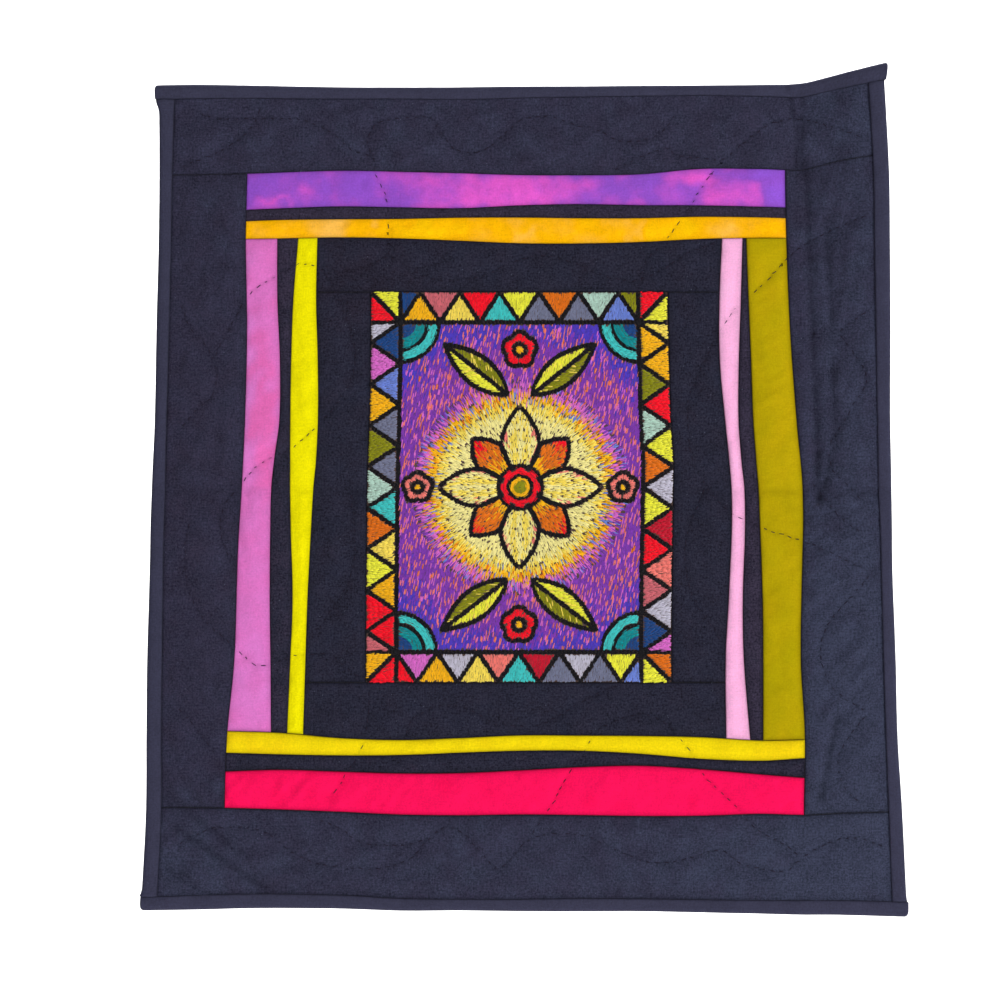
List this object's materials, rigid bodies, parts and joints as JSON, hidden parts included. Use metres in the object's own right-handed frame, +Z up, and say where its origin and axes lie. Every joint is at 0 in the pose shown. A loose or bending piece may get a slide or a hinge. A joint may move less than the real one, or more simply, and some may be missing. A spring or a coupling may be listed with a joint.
{
  "type": "quilted wall hanging",
  "caption": "Hand-quilted cloth hanging: a stitched panel framed by uneven bright strips and wide black borders on a thin padded core, bound all round and hung from its top edge",
  "frame": {"origin": "middle of the top edge, between the front and the back of the quilt", "axes": "X runs to the right along the top edge as seen from the front, Z points up, and the quilted front looks along -Y"},
  "size_m": [0.4296, 0.0171, 0.4772],
  "materials": {
    "backing_cloth": "plain black cotton over wadding, matte",
    "border_cloth": "plain blue-black cotton, matte, with light lint",
    "binding_cloth": "blue-black cotton folded over the edge, matte",
    "black_cloth": "plain black cotton, matte",
    "purple_cloth": "mottled purple and magenta cotton, matte",
    "orange_cloth": "mottled orange cotton, matte",
    "orchid_cloth": "orchid pink cotton, matte",
    "lemon_cloth": "lemon yellow cotton, matte",
    "pink_cloth": "light pink cotton, matte",
    "olive_cloth": "olive yellow cotton, matte",
    "gold_cloth": "golden yellow cotton, matte",
    "crimson_cloth": "bright crimson cotton, matte",
    "stitched_cloth": "black cotton covered with many-coloured thread, slight sheen"
  },
  "bodies": {
    "root": {"padded_core": "backing_cloth", "purple_top": "purple_cloth", "gap_top": "black_cloth", "orange_top": "orange_cloth", "orchid_left": "orchid_cloth", "gap_left": "black_cloth", "lemon_left": "lemon_cloth", "pink_right": "pink_cloth", "gap_right": "black_cloth", "olive_right": "olive_cloth", "gold_foot": "gold_cloth", "gap_foot": "black_cloth", "crimson_foot": "crimson_cloth", "inner_top": "black_cloth", "inner_left": "black_cloth", "inner_right": "black_cloth", "inner_foot": "black_cloth", "stitched_panel": "stitched_cloth", "border_top": "border_cloth", "border_left": "border_cloth", "border_right": "border_cloth", "border_foot": "border_cloth", "binding_top": "binding_cloth", "binding_foot": "binding_cloth", "binding_left": "binding_cloth", "binding_right": "binding_cloth"}
  },
  "joints": []
}
